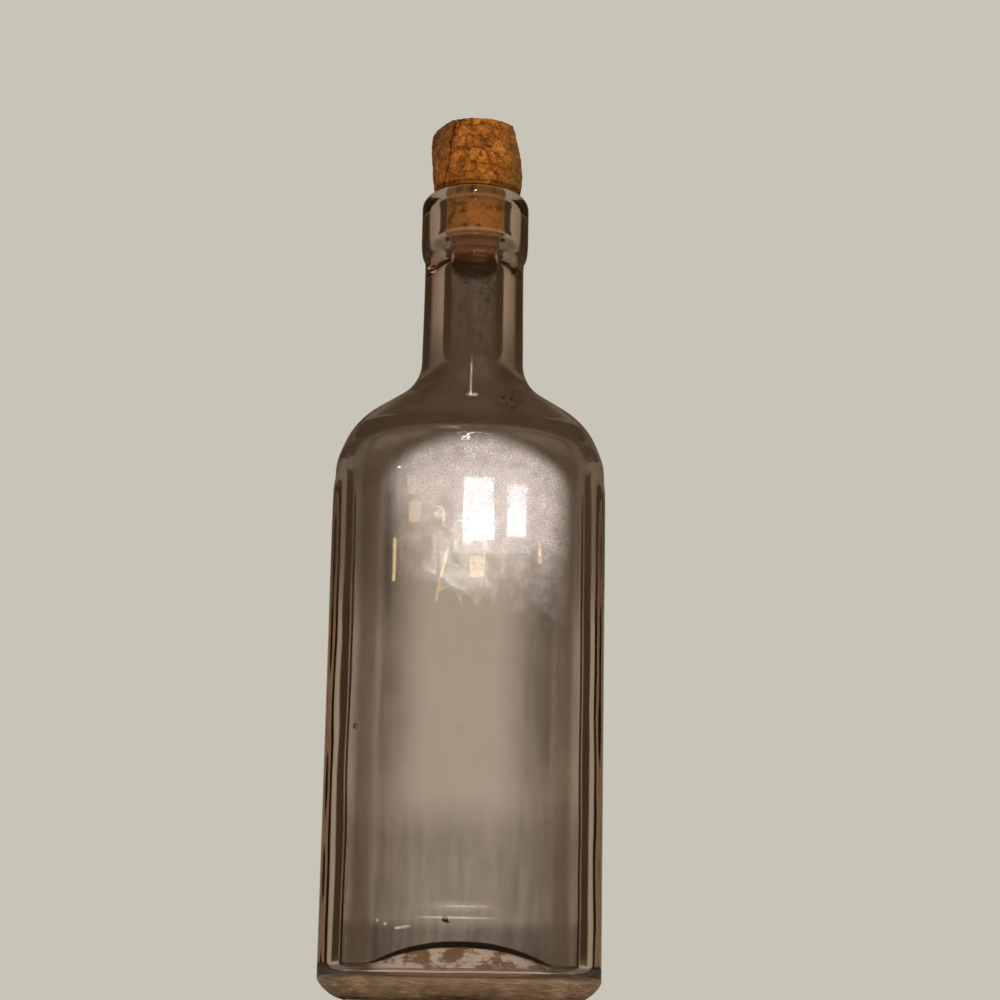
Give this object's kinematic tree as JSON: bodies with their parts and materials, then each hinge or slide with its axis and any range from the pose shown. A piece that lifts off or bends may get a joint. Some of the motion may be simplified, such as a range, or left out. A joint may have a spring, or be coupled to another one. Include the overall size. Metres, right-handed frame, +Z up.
{
  "type": "apothecary bottle",
  "caption": "Clear glass apothecary bottle, rectangular with bevelled corners, sloped shoulders and a collared neck, closed by a rough whittled cork that pulls out.",
  "frame": {"origin": "centre of the base, on the surface that the bottle stands on", "axes": "+Z up along the neck, +X across the width, -Y out of the front panel"},
  "size_m": [0.069, 0.042, 0.2267],
  "materials": {
    "glass": "old clear glass, slightly wavy, with a dusty film inside",
    "cork": "raw cork, knife-cut and pitted"
  },
  "bodies": {
    "bottle": {"glass_bottle": "glass"},
    "cork": {"cork_stopper": "cork"}
  },
  "joints": [
    {"name": "cork_pull", "type": "slide", "parent": "bottle", "child": "cork", "axis": [0, 0, 1], "range_m": [0, 0.04]}
  ]
}
